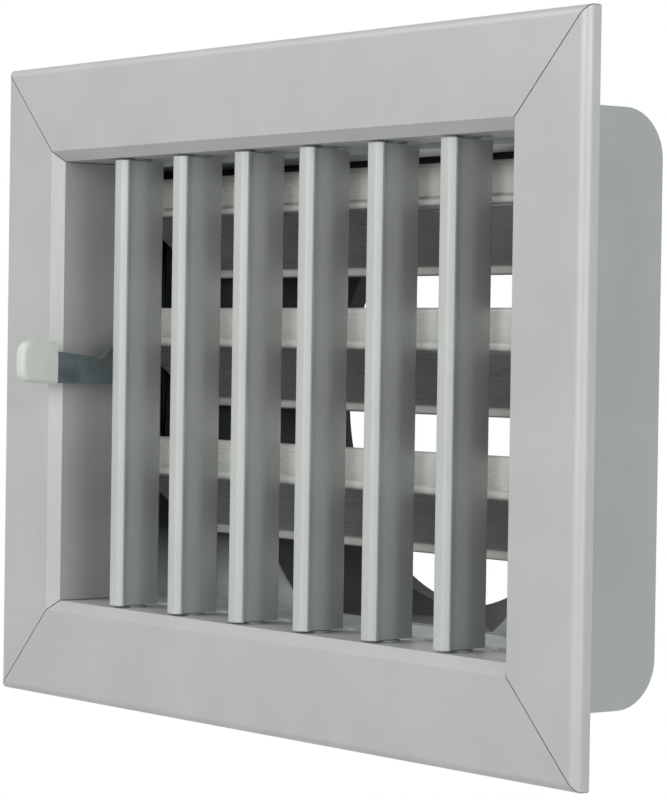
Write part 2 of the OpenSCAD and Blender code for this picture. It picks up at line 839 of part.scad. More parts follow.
// Moulded spigot: flange, funnel from the rear opening and plain round end
module spigot() {
    color([0.1, 0.1, 0.105])
        difference() {
            translate([0, box_rear_y, spigot_z])
                difference() {
                    flat_sided(rear_flat)
                        rotate([-90, 0, 0])
                            rotate_extrude($fn = 128)
                                polygon([
                                    [0, 0],
                                    [rear_hole_r + flange_w, 0],
                                    [rear_hole_r + flange_w, spigot_flange_t],
                                    [rear_hole_r + 0.7, spigot_flange_t],
                                    [spigot_r, funnel_l],
                                    [spigot_r, funnel_l + spigot_l],
                                    [0, funnel_l + spigot_l]]);
                    flat_sided(rear_flat - spigot_t)
                        rotate([-90, 0, 0])
                            rotate_extrude($fn = 128)
                                polygon([
                                    [0, -1],
                                    [rear_hole_r, -1],
                                    [rear_hole_r, 0],
                                    [spigot_r - spigot_t, funnel_l - 0.8],
                                    [spigot_r - spigot_t, funnel_l + spigot_l + 1],
                                    [0, funnel_l + spigot_l + 1]]);
                }
            spigot_rivet_holes();
        }
}

module spigot_rivets() {
    grip = spigot_flange_t + sheet_t;
    color([0.75, 0.76, 0.77])
        for (a = flange_rivet_a)
            translate([flange_rivet_r * cos(a), box_rear_y + spigot_flange_t,
                    spigot_z + flange_rivet_r * sin(a)])
                rotate([-90, 0, 0]) {
                    cylinder(h = 0.8, r1 = 1.7, r2 = 1, $fn = 20);
                    translate([0, 0, -grip])
                        cylinder(h = grip, r = 0.9, $fn = 20);
                    translate([0, 0, -grip - 0.8])
                        cylinder(h = 0.8, r1 = 0.7, r2 = 1.3, $fn = 20);
                }
}

frame_top();
frame_bottom();
frame_left();
frame_right();
corner_keys();
fixing_springs();
spring_rivets();
blade_1();
blade_2();
blade_3();
blade_4();
blade_5();
blade_6();
blade_pins_1();
blade_pins_2();
blade_pins_3();
blade_pins_4();
blade_pins_5();
blade_pins_6();
blade_bushes();
damper_top();
damper_bottom();
damper_left();
damper_right();
damper_bushes();
damper_rivets();
leaf_1();
leaf_2();
leaf_3();
leaf_pins_1();
leaf_pins_2();
leaf_pins_3();
crank_1();
crank_3();
lever();
lever_cap();
crank_pin_1();
crank_pin_2();
crank_pin_3();
link_bar();
box_wrap();
box_left();
box_right();
box_rivets();
spigot();
spigot_rivets();
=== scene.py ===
"""Looks of the ventilation grille: finishes, finer pieces, soft light and camera.

Run as a script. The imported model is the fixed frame; everything is in metres,
x to the right, y into the wall, z up.
"""

import math

import bmesh
import bpy
from bpy.props import FloatProperty, FloatVectorProperty, PointerProperty
from mathutils import Matrix, Vector


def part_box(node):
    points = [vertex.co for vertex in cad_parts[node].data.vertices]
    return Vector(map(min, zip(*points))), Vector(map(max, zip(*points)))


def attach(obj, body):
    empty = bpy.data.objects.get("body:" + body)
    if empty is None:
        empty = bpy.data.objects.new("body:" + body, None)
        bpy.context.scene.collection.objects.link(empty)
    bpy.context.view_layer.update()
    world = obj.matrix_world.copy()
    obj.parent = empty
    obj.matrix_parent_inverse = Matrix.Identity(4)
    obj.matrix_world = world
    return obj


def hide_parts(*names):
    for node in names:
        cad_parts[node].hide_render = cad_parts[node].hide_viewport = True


bl_info = {
    "name": "Ventilation grille",
    "version": (1, 0, 0),
    "blender": (4, 5, 0),
    "location": "3D View > Sidebar > Grille",
    "description": "Builds the finishes and fine pieces of a ventilation grille",
    "category": "Object",
}

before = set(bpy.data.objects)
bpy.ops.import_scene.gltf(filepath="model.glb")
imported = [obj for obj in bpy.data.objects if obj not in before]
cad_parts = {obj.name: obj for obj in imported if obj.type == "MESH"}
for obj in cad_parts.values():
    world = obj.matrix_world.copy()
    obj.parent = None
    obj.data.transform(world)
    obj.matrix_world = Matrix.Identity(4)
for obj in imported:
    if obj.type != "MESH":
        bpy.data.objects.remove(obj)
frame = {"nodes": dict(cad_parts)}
MM = 0.001
BLADES = range(1, 7)
LEAVES = range(1, 4)


# Settings -------------------------------------------------------------------

def colour(name, text, value):
    return FloatVectorProperty(name=name, description=text, default=value,
                               subtype="COLOR", size=3, min=0.0, max=1.0)


def length(name, text, value):
    return FloatProperty(name=name, description=text, default=value,
                         subtype="DISTANCE", unit="LENGTH", min=0.0, precision=5)


class GrilleSizes(bpy.types.PropertyGroup):
    """Sizes of the pieces that are made here."""
    nose_flat: length("Nose flat", "Width of the flat front of an upright blade",
                      3.5 * MM)
    blade_thick: length("Blade thickness", "Thickness of a blade at its pivot",
                        4.2 * MM)
    tail_thick: length("Tail thickness", "Thickness of a blade near its rear edge",
                       1.5 * MM)
    leaf_sheet: length("Leaf thickness", "Thickness of a damper leaf", 1.2 * MM)
    leaf_lip: length("Leaf lip", "Height of the lip of a damper leaf", 2.6 * MM)
    leaf_bead: length("Leaf bead", "Radius of the bead round the leaf pivot", 1.8 * MM)
    leaf_bulge: length("Leaf bulge", "Forward bulge of the upper leg of a leaf",
                       0.8 * MM)
    leaf_crease: length("Leaf crease", "Offset of the crease in the lower leg",
                        0.8 * MM)
    cap_fillet: length("Cap fillet", "Radius round the edges of the lever cap",
                       1.6 * MM)
    strip_edge: length("Strip edge", "Broken edge of the lever strip, cranks and link",
                       0.4 * MM)


class GrilleFinishes(bpy.types.PropertyGroup):
    """Colours of the finishes."""
    frame: colour("Frame", "Satin anodised flange", (0.500, 0.513, 0.494))
    blade: colour("Blades", "Satin anodised upright blades", (0.523, 0.548, 0.528))
    leaf: colour("Damper leaves", "Plain aluminium of the leaves", (0.550, 0.557, 0.531))
    sheet: colour("Rear box", "Galvanised sheet", (0.437, 0.473, 0.460))
    # painted shade: the cranks and link bar carry the lever's plating, made near black
    # for the shade deep in the box
    inner: colour("Links", "Dull plating of the cranks and link bar",
                  (0.042, 0.048, 0.054))
    zinc: colour("Lever", "Blue zinc plating", (0.235, 0.293, 0.311))
    cap: colour("Lever cap", "White moulding", (0.700, 0.745, 0.700))


def power(name, text, value):
    return FloatProperty(name=name, description=text, default=value, min=0.0,
                         unit="POWER")


class GrilleStage(bpy.types.PropertyGroup):
    """Light levels and the camera."""
    key: power("Key light", "Power of the softbox at the front", 17.6)
    high: power("High light", "Power of the softbox high at the left", 21.1)
    side: power("Side light", "Power of the softbox at the right side", 20.2)
    sky: FloatProperty(name="Room light", default=0.03, min=0.0,
                       description="Strength of the even room light")
    camera_place: FloatVectorProperty(
        name="Camera place", description="Where the camera stands", size=3,
        subtype="TRANSLATION", default=(0.71794, -0.52684, 0.01288))
    camera_turn: FloatVectorProperty(
        name="Camera turn", description="Turn to the left, tilt and roll of the camera",
        size=3, subtype="EULER", unit="ROTATION",
        default=(math.radians(52.55), math.radians(-1.03), math.radians(0.85)))
    camera_lens: FloatProperty(
        name="Lens", description="Focal length in mm on a frame 24 mm high",
        default=92.32, min=10.0)


def settings():
    scene = bpy.context.scene
    return scene.grille_sizes, scene.grille_finishes, scene.grille_stage


# Materials ------------------------------------------------------------------

# How many marks of each noise lie in a metre
CLOUDS, FAINT_CLOUDS, BLOTCHES = 42.0, 60.0, 150.0
LINES, SPECKS, SKIN = 900.0, 1500.0, 2600.0
NOISE_SPAN = (0.3, 0.7)                         # most values of a noise lie here
ALONG = {"x": (0.04, 1, 1), "z": (1, 1, 0.04)}  # draws the marks out into lines
GRAIN_DEPTH, SKIN_DEPTH = 0.04 * MM, 0.03 * MM
MILL_METAL = (0.55, 0.56, 0.57)
INNER_SHADE = (0.034, 0.037, 0.035)                    # painted shade inside the rear box
INNER_SHADE_FOOT, INNER_SHADE_FULL = 20 * MM, 38 * MM         # where the painted shade starts and is full, above the box's underside
UNDERSIDE_SHADE = 0.5                                 # painted shade: tone of a leaf's downward faces against its top


def blank_material(name, base, metallic, roughness):
    """A principled material with its constants on the shader's own sockets."""
    mat = bpy.data.materials.new(name)
    mat.use_nodes = True
    tree = mat.node_tree
    shader = tree.nodes["Principled BSDF"]
    shader.inputs["Base Color"].default_value = (*base, 1.0)
    shader.inputs["Metallic"].default_value = metallic
    shader.inputs["Roughness"].default_value = roughness
    return mat, tree, shader


def noise(tree, scale, stretch=(1, 1, 1), detail=4.0):
    """Noise on Object coordinates, drawn out along an axis by a small stretch."""
    nodes, links = tree.nodes, tree.links
    coords = nodes.new("ShaderNodeTexCoord")
    mapping = nodes.new("ShaderNodeMapping")
    mapping.inputs["Scale"].default_value = stretch
    texture = nodes.new("ShaderNodeTexNoise")
    texture.inputs["Scale"].default_value = scale
    texture.inputs["Detail"].default_value = detail
    links.new(coords.outputs["Object"], mapping.inputs["Vector"])
    links.new(mapping.outputs["Vector"], texture.inputs["Vector"])
    return texture.outputs["Fac"]


def ramp(tree, source, stops):
    """Colours over the source, from stops of place and colour."""
    node = tree.nodes.new("ShaderNodeValToRGB")
    bar = node.color_ramp
    for element, (place, value) in zip(bar.elements, (stops[0], stops[-1])):
        element.position, element.color = place, (*value, 1)
    for place, value in stops[1:-1]:
        bar.elements.new(place).color = (*value, 1)
    tree.links.new(source, node.inputs["Fac"])
    return node.outputs["Color"]


def shade(base, factor):
    return tuple(min(1.0, c * factor) for c in base)


def remap(tree, source, start, end, low=0.0, high=1.0):
    """Carries a value from start..end to low..high and holds it at both ends."""
    node = tree.nodes.new("ShaderNodeMapRange")
    for label, value in (("From Min", start), ("From Max", end),
                         ("To Min", low), ("To Max", high)):
        node.inputs[label].default_value = value
    tree.links.new(source, node.inputs["Value"])
    return node.outputs["Result"]


def bump(tree, shader, height, strength, distance):
    node = tree.nodes.new("ShaderNodeBump")
    node.inputs["Strength"].default_value = strength
    node.inputs["Distance"].default_value = distance
    tree.links.new(height, node.inputs["Height"])
    tree.links.new(node.outputs["Normal"], shader.inputs["Normal"])


def drawn_metal(name, base, metallic, roughness, along="x", mottle=0.03, grain=0.10):
    """Extruded or rolled metal: soft clouds of tone and fine lines along its length."""
    mat, tree, shader = blank_material(name, base, metallic, roughness)
    clouds = noise(tree, CLOUDS, detail=5.0)
    lines = noise(tree, LINES, ALONG[along], detail=3.0)
    tone = ramp(tree, clouds, ((0.34, shade(base, 1 - mottle)), (0.5, base),
                               (0.68, shade(base, 1 + mottle))))
    tree.links.new(tone, shader.inputs["Base Color"])
    rough = remap(tree, lines, *NOISE_SPAN, roughness - 0.05, roughness + 0.06)
    tree.links.new(rough, shader.inputs["Roughness"])
    bump(tree, shader, lines, grain, GRAIN_DEPTH)
    return mat


def moulded(name, base, roughness, texture=0.12, gloss=0.5):
    """Moulded plastic: even tone with a very fine skin."""
    mat, tree, shader = blank_material(name, base, 0.0, roughness)
    shader.inputs["Specular IOR Level"].default_value = gloss
    skin = noise(tree, SKIN, detail=2.0)
    clouds = noise(tree, FAINT_CLOUDS, detail=2.0)
    tone = ramp(tree, clouds, ((0.3, shade(base, 0.97)), (0.7, shade(base, 1.03))))
    tree.links.new(tone, shader.inputs["Base Color"])
    bump(tree, shader, skin, texture, SKIN_DEPTH)
    return mat


def plated(name, base, roughness):
    """Zinc plating: blotches that drift from blue to grey, with dull patches."""
    mat, tree, shader = blank_material(name, base, 0.85, roughness)
    clouds = noise(tree, BLOTCHES, detail=6.0)
    warm = (base[0] * 1.25, base[1] * 1.12, base[2] * 0.98)
    tone = ramp(tree, clouds, ((0.32, shade(base, 0.8)), (0.5, base), (0.7, warm)))
    tree.links.new(tone, shader.inputs["Base Color"])
    rough = remap(tree, clouds, *NOISE_SPAN, roughness - 0.08, roughness + 0.12)
    tree.links.new(rough, shader.inputs["Roughness"])
    bump(tree, shader, noise(tree, SPECKS), 0.08, GRAIN_DEPTH)
    return mat


def paint_shade(mat, mask, tone):
    """Paints shade: turns the material's colour to another tone where the mask is 1."""
    tree = mat.node_tree
    shader = tree.nodes["Principled BSDF"]
    usual = shader.inputs["Base Color"].links[0].from_socket
    mix = tree.nodes.new("ShaderNodeMix")
    mix.data_type = "RGBA"
    socket = {item.identifier: item for item in (*mix.inputs, *mix.outputs)}
    tree.links.new(mask, socket["Factor_Float"])
    tree.links.new(usual, socket["A_Color"])
    socket["B_Color"].default_value = (*tone, 1)
    tree.links.new(socket["Result_Color"], shader.inputs["Base Color"])


def height_of(tree, vector):
    split = tree.nodes.new("ShaderNodeSeparateXYZ")
    tree.links.new(vector, split.inputs["Vector"])
    return split.outputs["Z"]


def shade_inside_box(mat, centre, low, high):
    """Painted shade on the faces that look at the centre, growing between two heights."""
    tree = mat.node_tree
    nodes, links = tree.nodes, tree.links
    coords = nodes.new("ShaderNodeTexCoord")
    inward = nodes.new("ShaderNodeVectorMath")
    inward.operation = "SUBTRACT"
    inward.inputs[0].default_value = centre
    links.new(coords.outputs["Object"], inward.inputs[1])
    facing = nodes.new("ShaderNodeVectorMath")
    facing.operation = "DOT_PRODUCT"
    links.new(inward.outputs["Vector"], facing.inputs[0])
    links.new(coords.outputs["Normal"], facing.inputs[1])
    shade_mask = nodes.new("ShaderNodeMath")
    shade_mask.operation = "MULTIPLY"
    links.new(remap(tree, facing.outputs["Value"], 0.0, 4 * MM), shade_mask.inputs[0])
    rise = remap(tree, height_of(tree, coords.outputs["Object"]), low, high)
    links.new(rise, shade_mask.inputs[1])
    paint_shade(mat, shade_mask.outputs["Value"], INNER_SHADE)


def shade_downward_faces(mat, tone):
    """Faces that look down are painted darker, as shade; the others keep the material's
    colour.
    """
    tree = mat.node_tree
    coords = tree.nodes.new("ShaderNodeTexCoord")
    up = height_of(tree, coords.outputs["Normal"])
    paint_shade(mat, remap(tree, up, -0.45, -0.68), tone)


def box_shade_span():
    """Centre of the rear box and the heights between which the painted shade inside it
    grows.
    """
    low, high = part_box("box_wrap")
    centre = tuple((a + b) / 2 for a, b in zip(low, high))
    return centre, low[2] + INNER_SHADE_FOOT, low[2] + INNER_SHADE_FULL


def finish_of(name):
    """The material of that name, made on first use."""
    if name in bpy.data.materials:
        return bpy.data.materials[name]
    col = settings()[1]
    # Each row: the maker, the colour, and what that maker takes after it
    maker, base, *rest = {
        "frame_across": (drawn_metal, col.frame, 0.24, 0.48, "x"),
        "frame_upright": (drawn_metal, col.frame, 0.24, 0.48, "z"),
        "blade_metal": (drawn_metal, col.blade, 0.24, 0.46, "z", 0.03, 0.2),
        "leaf_metal": (drawn_metal, col.leaf, 0.27, 0.30, "x", 0.05, 0.05),
        "box_sheet": (drawn_metal, col.sheet, 0.24, 0.46, "z", 0.03, 0.08),
        "damper_side": (drawn_metal, col.sheet, 0.24, 0.48, "x", 0.04),
        "damper_sheet": (drawn_metal, col.sheet, 0.24, 0.48, "x", 0.04),
        "pin_steel": (drawn_metal, MILL_METAL, 1.0, 0.30, "x"),
        "rivet_metal": (drawn_metal, MILL_METAL, 0.9, 0.38, "x", 0.06),
        "spring_steel": (drawn_metal, (0.32, 0.33, 0.35), 1.0, 0.34, "z"),
        "key_metal": (drawn_metal, (0.42, 0.43, 0.43), 0.9, 0.5, "x", 0.07),
        "zinc_plate": (plated, col.zinc, 0.42),
        # near-black plating as painted shade deep inside the box
        "dull_plate": (plated, col.inner, 0.55),
        "white_cap": (moulded, col.cap, 0.36),
        "bush_grey": (moulded, (0.28, 0.32, 0.30), 0.5),
        "bush_white": (moulded, (0.78, 0.78, 0.76), 0.45),
        "black_moulding": (moulded, (0.052, 0.052, 0.052), 0.6, 0.12, 0.2),
    }[name]
    mat = maker(name, tuple(base), *rest)
    # painted shade on the leaves' faces that look down
    if name == "leaf_metal":
        shade_downward_faces(mat, shade(col.leaf, UNDERSIDE_SHADE))
    # painted shade on the faces inside the rear box and damper sides, full higher up
    elif name in ("box_sheet", "damper_side"):
        shade_inside_box(mat, *box_shade_span())
    return mat


# Geometry trees -------------------------------------------------------------

WELD = 0.002 * MM          # points nearer than this become one
SOFT_ANGLE = 0.42          # edges flatter than this shade smooth on a bar
CAP_ANGLE = 0.7            # and on the lever cap
SHARP = math.radians(50)   # edges sharper than this are broken


def tree_with(name, sockets):
    """A geometry tree with those named inputs, and its input and output nodes."""
    tree = bpy.data.node_groups.new(name, "GeometryNodeTree")
    face = tree.interface
    face.new_socket("Geometry", in_out="INPUT", socket_type="NodeSocketGeometry")
    for label, kind, value in sockets:
        item = face.new_socket(label, in_out="INPUT", socket_type=kind)
        if value is not None:
            item.default_value = value
    face.new_socket("Geometry", in_out="OUTPUT", socket_type="NodeSocketGeometry")
    return tree, tree.nodes.new("NodeGroupInput"), tree.nodes.new("NodeGroupOutput")


def smooth_nodes(tree, source, angle_socket):
    """Nodes that shade smooth and keep edges sharper than the angle."""
    nodes, links = tree.nodes, tree.links
    faces = nodes.new("GeometryNodeSetShadeSmooth")
    edges = nodes.new("GeometryNodeSetShadeSmooth")
    edges.domain = "EDGE"
    angle = nodes.new("GeometryNodeInputMeshEdgeAngle")
    flat = nodes.new("FunctionNodeCompare")
    flat.data_type, flat.operation = "FLOAT", "LESS_THAN"
    links.new(source, faces.inputs["Geometry"])
    links.new(faces.outputs["Geometry"], edges.inputs["Geometry"])
    links.new(angle.outputs["Unsigned Angle"], flat.inputs[0])
    links.new(angle_socket, flat.inputs[1])
    links.new(flat.outputs["Result"], edges.inputs["Shade Smooth"])
    return edges.outputs["Geometry"]


def weld_tree():
    """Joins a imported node's loose triangles and smooths its curved faces."""
    name = "weld_and_smooth"
    if name in bpy.data.node_groups:
        return bpy.data.node_groups[name]
    tree, start, end = tree_with(name, (("Weld distance", "NodeSocketFloat", WELD),
                                        ("Smooth angle", "NodeSocketFloat", 0.45)))
    weld = tree.nodes.new("GeometryNodeMergeByDistance")
    tree.links.new(start.outputs["Geometry"], weld.inputs["Geometry"])
    tree.links.new(start.outputs["Weld distance"], weld.inputs["Distance"])
    out = smooth_nodes(tree, weld.outputs["Geometry"], start.outputs["Smooth angle"])
    tree.links.new(out, end.inputs["Geometry"])
    return tree


def dress(node, finish, edge=0.0):
    """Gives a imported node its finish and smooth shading; its mesh stays as it is.

    An edge above 0 also breaks its sharp edges by that much.
    """
    obj = frame["nodes"][node]
    mat = finish_of(finish)
    if not obj.material_slots:
        obj.data.materials.append(mat)
    for place in obj.material_slots:
        place.material = mat
    mod = obj.modifiers.new("smooth", "NODES")
    mod.node_group = weld_tree()
    if edge:
        broken = obj.modifiers.new("edges", "BEVEL")
        broken.width = edge
        broken.segments = 2
        broken.limit_method = "ANGLE"
        broken.angle_limit = SHARP
        broken.use_clamp_overlap = True


def bar_tree():
    """Pulls a flat outline into a closed bar and sets it in its place."""
    name = "bar_from_outline"
    if name in bpy.data.node_groups:
        return bpy.data.node_groups[name]
    tree, start, end = tree_with(name, (("Length", "NodeSocketFloat", 0.1),
                                        ("Place", "NodeSocketVector", None),
                                        ("Turn", "NodeSocketVector", None),
                                        ("Smooth angle", "NodeSocketFloat", 0.5),
                                        ("Finish", "NodeSocketMaterial", None)))
    nodes, links = tree.nodes, tree.links
    pull = nodes.new("GeometryNodeExtrudeMesh")
    pull.mode = "FACES"
    pull.inputs["Individual"].default_value = False
    offset = nodes.new("ShaderNodeCombineXYZ")
    flip = nodes.new("GeometryNodeFlipFaces")
    join = nodes.new("GeometryNodeJoinGeometry")
    weld = nodes.new("GeometryNodeMergeByDistance")
    weld.inputs["Distance"].default_value = WELD
    place = nodes.new("GeometryNodeTransform")
    real = nodes.new("GeometryNodeRealizeInstances")
    mat = nodes.new("GeometryNodeSetMaterial")
    links.new(start.outputs["Geometry"], pull.inputs["Mesh"])
    links.new(start.outputs["Length"], offset.inputs["Z"])
    links.new(offset.outputs["Vector"], pull.inputs["Offset"])
    links.new(start.outputs["Geometry"], flip.inputs["Mesh"])
    links.new(pull.outputs["Mesh"], join.inputs["Geometry"])
    links.new(flip.outputs["Mesh"], join.inputs["Geometry"])
    links.new(join.outputs["Geometry"], weld.inputs["Geometry"])
    smooth = smooth_nodes(tree, weld.outputs["Geometry"], start.outputs["Smooth angle"])
    links.new(smooth, place.inputs["Geometry"])
    links.new(start.outputs["Place"], place.inputs["Translation"])
    links.new(start.outputs["Turn"], place.inputs["Rotation"])
    links.new(place.outputs["Geometry"], real.inputs["Geometry"])
    links.new(real.outputs["Geometry"], mat.inputs["Geometry"])
    links.new(start.outputs["Finish"], mat.inputs["Material"])
    links.new(mat.outputs["Geometry"], end.inputs["Geometry"])
    return tree


def put(name, data):
    """A new object in the scene, at the origin."""
    obj = bpy.data.objects.new(name, data)
    bpy.context.scene.collection.objects.link(obj)
    return obj


def keep_result(obj, mod):
    """Keeps what the modifier makes as the object's plain mesh and removes it."""
    graph = bpy.context.evaluated_depsgraph_get()
    graph.update()
    mesh = bpy.data.meshes.new_from_object(obj.evaluated_get(graph), depsgraph=graph)
    obj.modifiers.remove(mod)
    obj.data = mesh


def grow(name, seed, tree, **values):
    """Runs a geometry tree on a seed mesh and keeps the result as a plain mesh."""
    obj = put(name, seed)
    mod = obj.modifiers.new("make", "NODES")
    mod.node_group = tree
    sockets = {i.name: i.identifier for i in tree.interface.items_tree
               if i.item_type == "SOCKET" and i.in_out == "INPUT"}
    for label, value in values.items():
        mod[sockets[label.replace("_", " ")]] = value
    keep_result(obj, mod)
    obj.data.name = name
    return obj


def mesh_of(name, bm):
    """A mesh from the bmesh, which is freed."""
    data = bpy.data.meshes.new(name)
    bm.to_mesh(data)
    bm.free()
    return data


def outline_mesh(name, points, bore=None):
    """A flat face with that outline, counter-clockwise in metres, and a round bore."""
    bm = bmesh.new()
    rim = [bm.verts.new((x, y, 0)) for x, y in points]
    if bore:
        (cx, cy), radius, count = bore
        edges = [bm.edges.new((rim[i - 1], rim[i])) for i in range(len(rim))]
        hole = [bm.verts.new((cx + radius * math.cos(math.tau * k / count),
                              cy + radius * math.sin(math.tau * k / count), 0))
                for k in range(count)]
        edges += [bm.edges.new((hole[i - 1], hole[i])) for i in range(count)]
        bmesh.ops.triangle_fill(bm, use_beauty=True, edges=edges, normal=(0, 0, 1))
        for face in bm.faces:
            if face.normal.z < 0:
                face.normal_flip()
    else:
        bm.faces.new(rim)
    return mesh_of(name, bm)


def curve_through(points, steps=4):
    """Points on a smooth run through the given ones."""
    out = []
    last = len(points) - 1
    for i in range(last):
        p0, p1 = points[max(i - 1, 0)], points[i]
        p2, p3 = points[i + 1], points[min(i + 2, last)]
        for k in range(steps):
            t = k / steps
            out.append(tuple(
                0.5 * (2 * b + (c - a) * t + (2 * a - 5 * b + 4 * c - d) * t * t
                       + (3 * b - a - 3 * c + d) * t ** 3)
                for a, b, c, d in zip(p0, p1, p2, p3)))
    out.append(points[-1])
    return out


def metres(points):
    return [(a * MM, b * MM) for a, b in points]


def rounded(corners, steps=4):
    """Closed outline of (x, y, cut) corners, each eased over its cut."""
    out = []
    for k, (x, y, cut) in enumerate(corners):
        here = Vector((x, y))
        if not cut:
            out.append((x, y))
            continue
        before = (Vector(corners[k - 1][:2]) - here).normalized() * cut
        after = (Vector(corners[(k + 1) % len(corners)][:2]) - here).normalized() * cut
        for j in range(steps + 1):
            t = j / steps
            out.append(tuple(here + before * (1 - t) ** 2 + after * t ** 2))
    return out


def arc(radius, start, end, count):
    """Points round the origin from one angle to another, in degrees."""
    turns = [math.radians(start + (end - start) * k / count) for k in range(count + 1)]
    return [(radius * math.cos(a), radius * math.sin(a)) for a in turns]


def loft(name, rings):
    """A closed skin over rings with equal counts, flat at both ends."""
    bm = bmesh.new()
    loops = [[bm.verts.new(point) for point in ring] for ring in rings]
    count = len(rings[0])
    for low, high in zip(loops, loops[1:]):
        for k in range(count):
            j = (k + 1) % count
            bm.faces.new((low[k], low[j], high[j], high[k]))
    bm.faces.new(loops[0])
    bm.faces.new(loops[-1])
    bmesh.ops.recalc_face_normals(bm, faces=bm.faces)
    return mesh_of(name, bm)


def block(name, low, high):
    """A plain box between two corners, as an object that cuts others."""
    bm = bmesh.new()
    bmesh.ops.create_cube(bm, size=1.0)
    for vert in bm.verts:
        vert.co = [a + (c + 0.5) * (b - a) for a, b, c in zip(low, high, vert.co)]
    return put(name, mesh_of(name, bm))


def soften(obj, angle):
    """Smooth shading, with edges sharper than the angle kept."""
    bm = bmesh.new()
    bm.from_mesh(obj.data)
    for face in bm.faces:
        face.smooth = True
    for edge in bm.edges:
        edge.smooth = len(edge.link_faces) == 2 and edge.calc_face_angle() < angle
    bm.to_mesh(obj.data)
    bm.free()


def carve(obj, cutter):
    """Cuts one object out of another for good and removes the cutter."""
    mod = obj.modifiers.new("cut", "BOOLEAN")
    mod.operation, mod.solver, mod.object = "DIFFERENCE", "EXACT", cutter
    keep_result(obj, mod)
    bpy.data.objects.remove(cutter)


def stand_in(piece, node, body):
    """Hides the node that the piece replaces and puts the piece on that body."""
    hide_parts(node)
    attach(piece, body)


# The flange and its hidden parts ----------------------------------------------

class GRILLE_OT_flange(bpy.types.Operator):
    """Finishes of the mitred limbs, corner keys and fixing springs"""
    bl_idname = "grille.flange"
    bl_label = "Flange"

    def execute(self, context):
        for side in ("top", "bottom"):
            dress("frame_" + side, "frame_across")
        for side in ("left", "right"):
            dress("frame_" + side, "frame_upright")
        dress("corner_keys", "key_metal")
        dress("fixing_springs", "spring_steel")
        dress("spring_rivets", "rivet_metal")
        return {"FINISHED"}


# Upright blades ---------------------------------------------------------------

BLADE_BORE, LEAF_BORE = 1.02 * MM, 1.12 * MM   # radii of the bores for the pins
BORE_SIDES = 24
CREASE = 0.52                                  # share of the lower leg up to its crease


def blade_outline(nose, flat, thick, tail, depth):
    """Outline of a blade in mm from its nose: a flat, two slopes, a step and a body."""
    slope = (nose - flat) / 2
    front = [(0.0, 0.0), (flat / 2 - 0.25, 0.0), (flat / 2, 0.08), (flat / 2 + 0.2, 0.25),
             (nose / 2 - 0.16, slope - 0.12), (nose / 2 - 0.04, slope + 0.05),
             (nose / 2, slope + 0.28), (nose / 2 - 0.05, slope + 0.7),
             (nose / 2 - 0.3, slope + 1.15), (nose / 2 - 0.9, slope + 1.55)]
    body = curve_through([
        (thick * 0.465, slope + 1.95), (thick * 0.455, slope + 2.6),
        (thick * 0.46, depth * 0.31), (thick * 0.475, depth * 0.39),
        (thick * 0.49, depth * 0.46), (thick * 0.5, depth * 0.52),
        (thick * 0.485, depth * 0.6), (thick * 0.42, depth * 0.7),
        (tail * 0.95, depth * 0.8), (tail * 0.68, depth * 0.9),
        (tail * 0.5, depth * 0.97), (tail * 0.25, depth)], 3)
    right = front + body
    left = [(-x, y) for x, y in reversed(right[1:])]
    return right + left


class GRILLE_OT_blades(bpy.types.Operator):
    """Six upright blades with their pins and bushes"""
    bl_idname = "grille.blades"
    bl_label = "Upright blades"

    def execute(self, context):
        sizes = settings()[0]
        for i in BLADES:
            low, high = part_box("blade_%d" % i)
            depth = (high[1] - low[1]) / MM
            seed = outline_mesh("blade_outline", metres(blade_outline(
                (high[0] - low[0]) / MM, sizes.nose_flat / MM, sizes.blade_thick / MM,
                sizes.tail_thick / MM, depth)),
                bore=((0, depth / 2 * MM), BLADE_BORE, BORE_SIDES))
            piece = grow("upright_blade_%d" % i, seed, bar_tree(),
                         Length=high[2] - low[2],
                         Place=((low[0] + high[0]) / 2, low[1], low[2]),
                         Smooth_angle=SOFT_ANGLE, Finish=finish_of("blade_metal"))
            stand_in(piece, "blade_%d" % i, "blade_%d" % i)
            dress("blade_pins_%d" % i, "pin_steel")
        dress("blade_bushes", "bush_grey")
        return {"FINISHED"}


# Damper -----------------------------------------------------------------------

def leaf_outline(up, back, drop, sizes):
    """Outline of a damper leaf about its pivot in mm: x to the rear, y up."""
    sheet, lip = sizes.leaf_sheet / MM, sizes.leaf_lip / MM
    bead, bulge = sizes.leaf_bead / MM, sizes.leaf_bulge / MM
    steps = 14

    def front(share):
        return -sheet / 2 - 4 * bulge * share * (1 - share)

    shares = [k / steps for k in range(2, steps)]
    leg_front = [(front(t), up * t) for t in reversed(shares)]
    leg_rear = [(front(t) + sheet, up * t) for t in shares[1:]]
    top = [(sheet / 2 * math.cos(a), up - sheet / 2 + sheet / 2 * math.sin(a))
           for a in (math.pi * k / 8 for k in range(1, 8))]
    lean = sizes.leaf_crease / MM / (back + drop)
    bend = Vector(((back - sheet) * CREASE + lean * drop,
                   (lip - drop) * CREASE + lean * back))
    across = Vector((drop - lip, back)).normalized() * sheet * 0.98
    lower = rounded([
        (*arc(bead, 301, 301, 1)[0], 0), (*bend, 2.2),
        (back - sheet, lip - drop, 0.5), (back - sheet + 0.12, lip * 0.56 - drop, 0.6),
        (back - sheet - 0.32, lip * 0.24 - drop, 0.3), (back - sheet + 0.1, -drop, 0.25),
        (back, -drop, 0.35), (back, lip - drop + 0.8, 1.0),
        (*(bend + across), 2.2), (*arc(bead, -11, -11, 1)[0], 0)])
    return (top + leg_front + arc(bead, 123, 300, 22) + lower
            + arc(bead, -10, 84, 12) + leg_rear)


